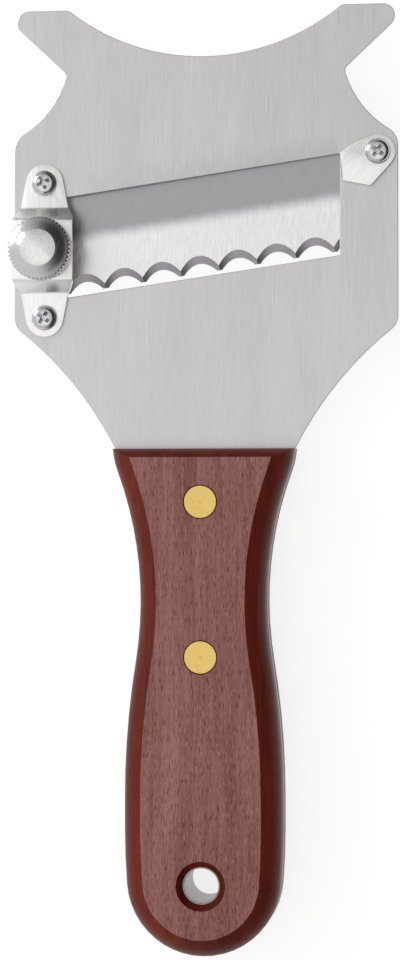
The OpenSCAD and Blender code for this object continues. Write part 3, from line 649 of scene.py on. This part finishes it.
def make_knob():
    height = (knob_high.z - knob_low.z) / MM
    outer, groove, band, flat_r = 7.5, 0.42, 4.3, 4.25
    knurls = 46
    knob = turned("knurled_knob", Vector((knob_axis.x, knob_axis.y, knob_low.z)), [
        (0, 0), (outer - 0.85, 0), (outer - 0.45, 0.1), (outer, 0.55), (outer, band - 0.5),
        (outer - 0.5, band - 0.06), (outer - 0.75, band + 0.02), (outer - 1.7, band + 0.66),
        (outer - 2.6, band + 1.24), (flat_r + 0.12, height - 0.06), (flat_r, height), (0, height),
    ], steps=2 * knurls)
    centre = Vector((knob_axis.x, knob_axis.y, 0))

    def is_valley(face):
        out = face.calc_center_median() - centre
        up = (out.z - knob_low.z) / MM
        out.z = 0
        turn = math.atan2(out.y, out.x) / math.tau * 2 * knurls
        return 0.1 < up < band - 0.1 and out.length > (outer - 0.5) * MM and math.floor(turn) % 2 == 0

    with editing(knob):
        pick(knob, "faces", is_valley)
        bpy.ops.mesh.inset(thickness=0.05 * MM)
        bpy.ops.transform.shrink_fatten(value=-groove * MM)
    smooth(knob, 30)
    knob.data.materials.append(knob_steel)
    settle(knob, "knob", "knob_steel", "adjusting_knob")


def make_spindle():
    low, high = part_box("adjusting_screw")
    spindle = threaded_rod("knob_spindle", knob_axis, low.z, (high.z - low.z) / MM, 2, 0.7, 0.36)
    smooth(spindle, 35)
    spindle.data.materials.append(screw_steel)
    settle(spindle, "knob", "screw_steel", "adjusting_screw")


def make_knob_washer():
    low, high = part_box("knob_washer")
    washer = ring("washer_under_knob", Vector((knob_axis.x, knob_axis.y, low.z)), 2.08,
                  (high.x - low.x) / 2 / MM, (high.z - low.z) / MM, 0.08)
    smooth(washer)
    washer.data.materials.append(screw_steel)
    settle(washer, "frame", "screw_steel", "knob_washer")


def make_bush():
    bush = copied("riveted_bush", "blade_bush")
    round_edges(bush, 0.1, 2)
    smooth(bush)
    bush.data.materials.append(bush_brass)
    settle(bush, "blade", "bush_brass", "blade_bush")


make_bridge()
make_clip()
make_bridge_fasteners()
make_pivot_fasteners()
make_knob()
make_spindle()
make_knob_washer()
make_bush()


# The studio: a pale floor, a soft sky and one soft lamp at the upper left

def make_floor():
    bpy.ops.object.select_all(action="DESELECT")
    bpy.ops.mesh.primitive_plane_add(size=30, location=(0, 0, -0.02 * MM))
    floor = bpy.context.active_object
    floor.name = "floor"
    material = bpy.data.materials.new("white_paper_floor")
    material.use_nodes = True
    tree = material.node_tree
    tree.nodes.remove(tree.nodes["Principled BSDF"])
    path = add(tree, "ShaderNodeLightPath").outputs
    seen = sum_of(tree, sum_of(tree, path["Is Camera Ray"], path["Is Glossy Ray"], "MAXIMUM"),
                  path["Is Transmission Ray"], "MAXIMUM")
    paper = add(tree, "ShaderNodeBsdfDiffuse", {"Color": (0.8, 0.8, 0.8, 1)})
    shaded = add(tree, "ShaderNodeBsdfDiffuse", {"Color": (0.3, 0.3, 0.3, 1)})
    glow = add(tree, "ShaderNodeEmission", {"Color": (1, 1, 1, 1), "Strength": 0.82})
    lit = add(tree, "ShaderNodeAddShader", {0: shaded.outputs[0], 1: glow.outputs[0]})
    both = add(tree, "ShaderNodeMixShader", {0: seen, 1: paper.outputs[0], 2: lit.outputs[0]})
    tree.links.new(both.outputs[0], tree.nodes["Material Output"].inputs["Surface"])
    floor.data.materials.append(material)


def make_sky():
    """Bright overhead and towards the left, and dark towards the right, as under one large softbox."""
    world = bpy.context.scene.world or bpy.data.worlds.new("studio")
    bpy.context.scene.world = world
    world.use_nodes = True
    tree = world.node_tree
    way = add(tree, "ShaderNodeTexCoord").outputs["Generated"]
    up = add(tree, "ShaderNodeSeparateXYZ", {0: way}).outputs["Z"]
    left = add(tree, "ShaderNodeVectorMath", {0: way, 1: (-0.93, -0.25, 0.27)}, operation="DOT_PRODUCT")
    low_sky = spread(tree, left.outputs["Value"], -0.45, 0.75, 0.04, 0.8, "SMOOTHSTEP")
    overhead = spread(tree, up, 0.7, 0.97, 0, 1, "SMOOTHSTEP")
    near = add(tree, "ShaderNodeVectorMath", {0: way, 1: (-0.68, -0.73, 0)}, operation="DOT_PRODUCT")
    high_sky = spread(tree, near.outputs["Value"], -0.05, 0.07, 0.88, 1.24, "SMOOTHSTEP")
    strength = add(tree, "ShaderNodeMix", {0: overhead, 2: low_sky, 3: high_sky}, data_type="FLOAT").outputs[0]
    tree.links.new(strength, tree.nodes["Background"].inputs["Strength"])
    tree.nodes["Background"].inputs["Color"].default_value = (1, 1, 1, 1)


def make_lamp():
    lamp = bpy.data.lights.new("softbox", "AREA")
    lamp.shape = "SQUARE"
    lamp.size = 0.45
    lamp.energy = 4
    holder = bpy.data.objects.new("softbox", lamp)
    bpy.context.scene.collection.objects.link(holder)
    holder.location = (-0.9, 0.5, 0.62)
    holder.rotation_mode = "QUATERNION"
    holder.rotation_quaternion = (Vector((0, 0, 0)) - holder.location).to_track_quat("-Z", "Y")


def make_camera():
    """The camera of the photograph, found from how the outline's two sides differ in it."""
    photo_height_px = 960
    focal_px = 2801
    yaw, pitch, roll = math.radians(7.4), math.radians(0.28), math.radians(-0.06)
    data = bpy.data.cameras.new("camera")
    data.sensor_width = 36
    data.lens = focal_px * data.sensor_width / photo_height_px
    data.clip_end = 10
    camera = bpy.data.objects.new("camera", data)
    bpy.context.scene.collection.objects.link(camera)
    turn = Matrix.Rotation(yaw, 4, "Y") @ Matrix.Rotation(pitch, 4, "X") @ Matrix.Rotation(roll, 4, "Z")
    place = Vector((84.6, -3.2, 660.4 + plate_high.z / MM)) * MM
    camera.matrix_world = Matrix.Translation(place) @ turn
    bpy.context.scene.camera = camera


make_floor()
make_sky()
make_lamp()
make_camera()
bpy.context.scene.view_settings.view_transform = "Standard"
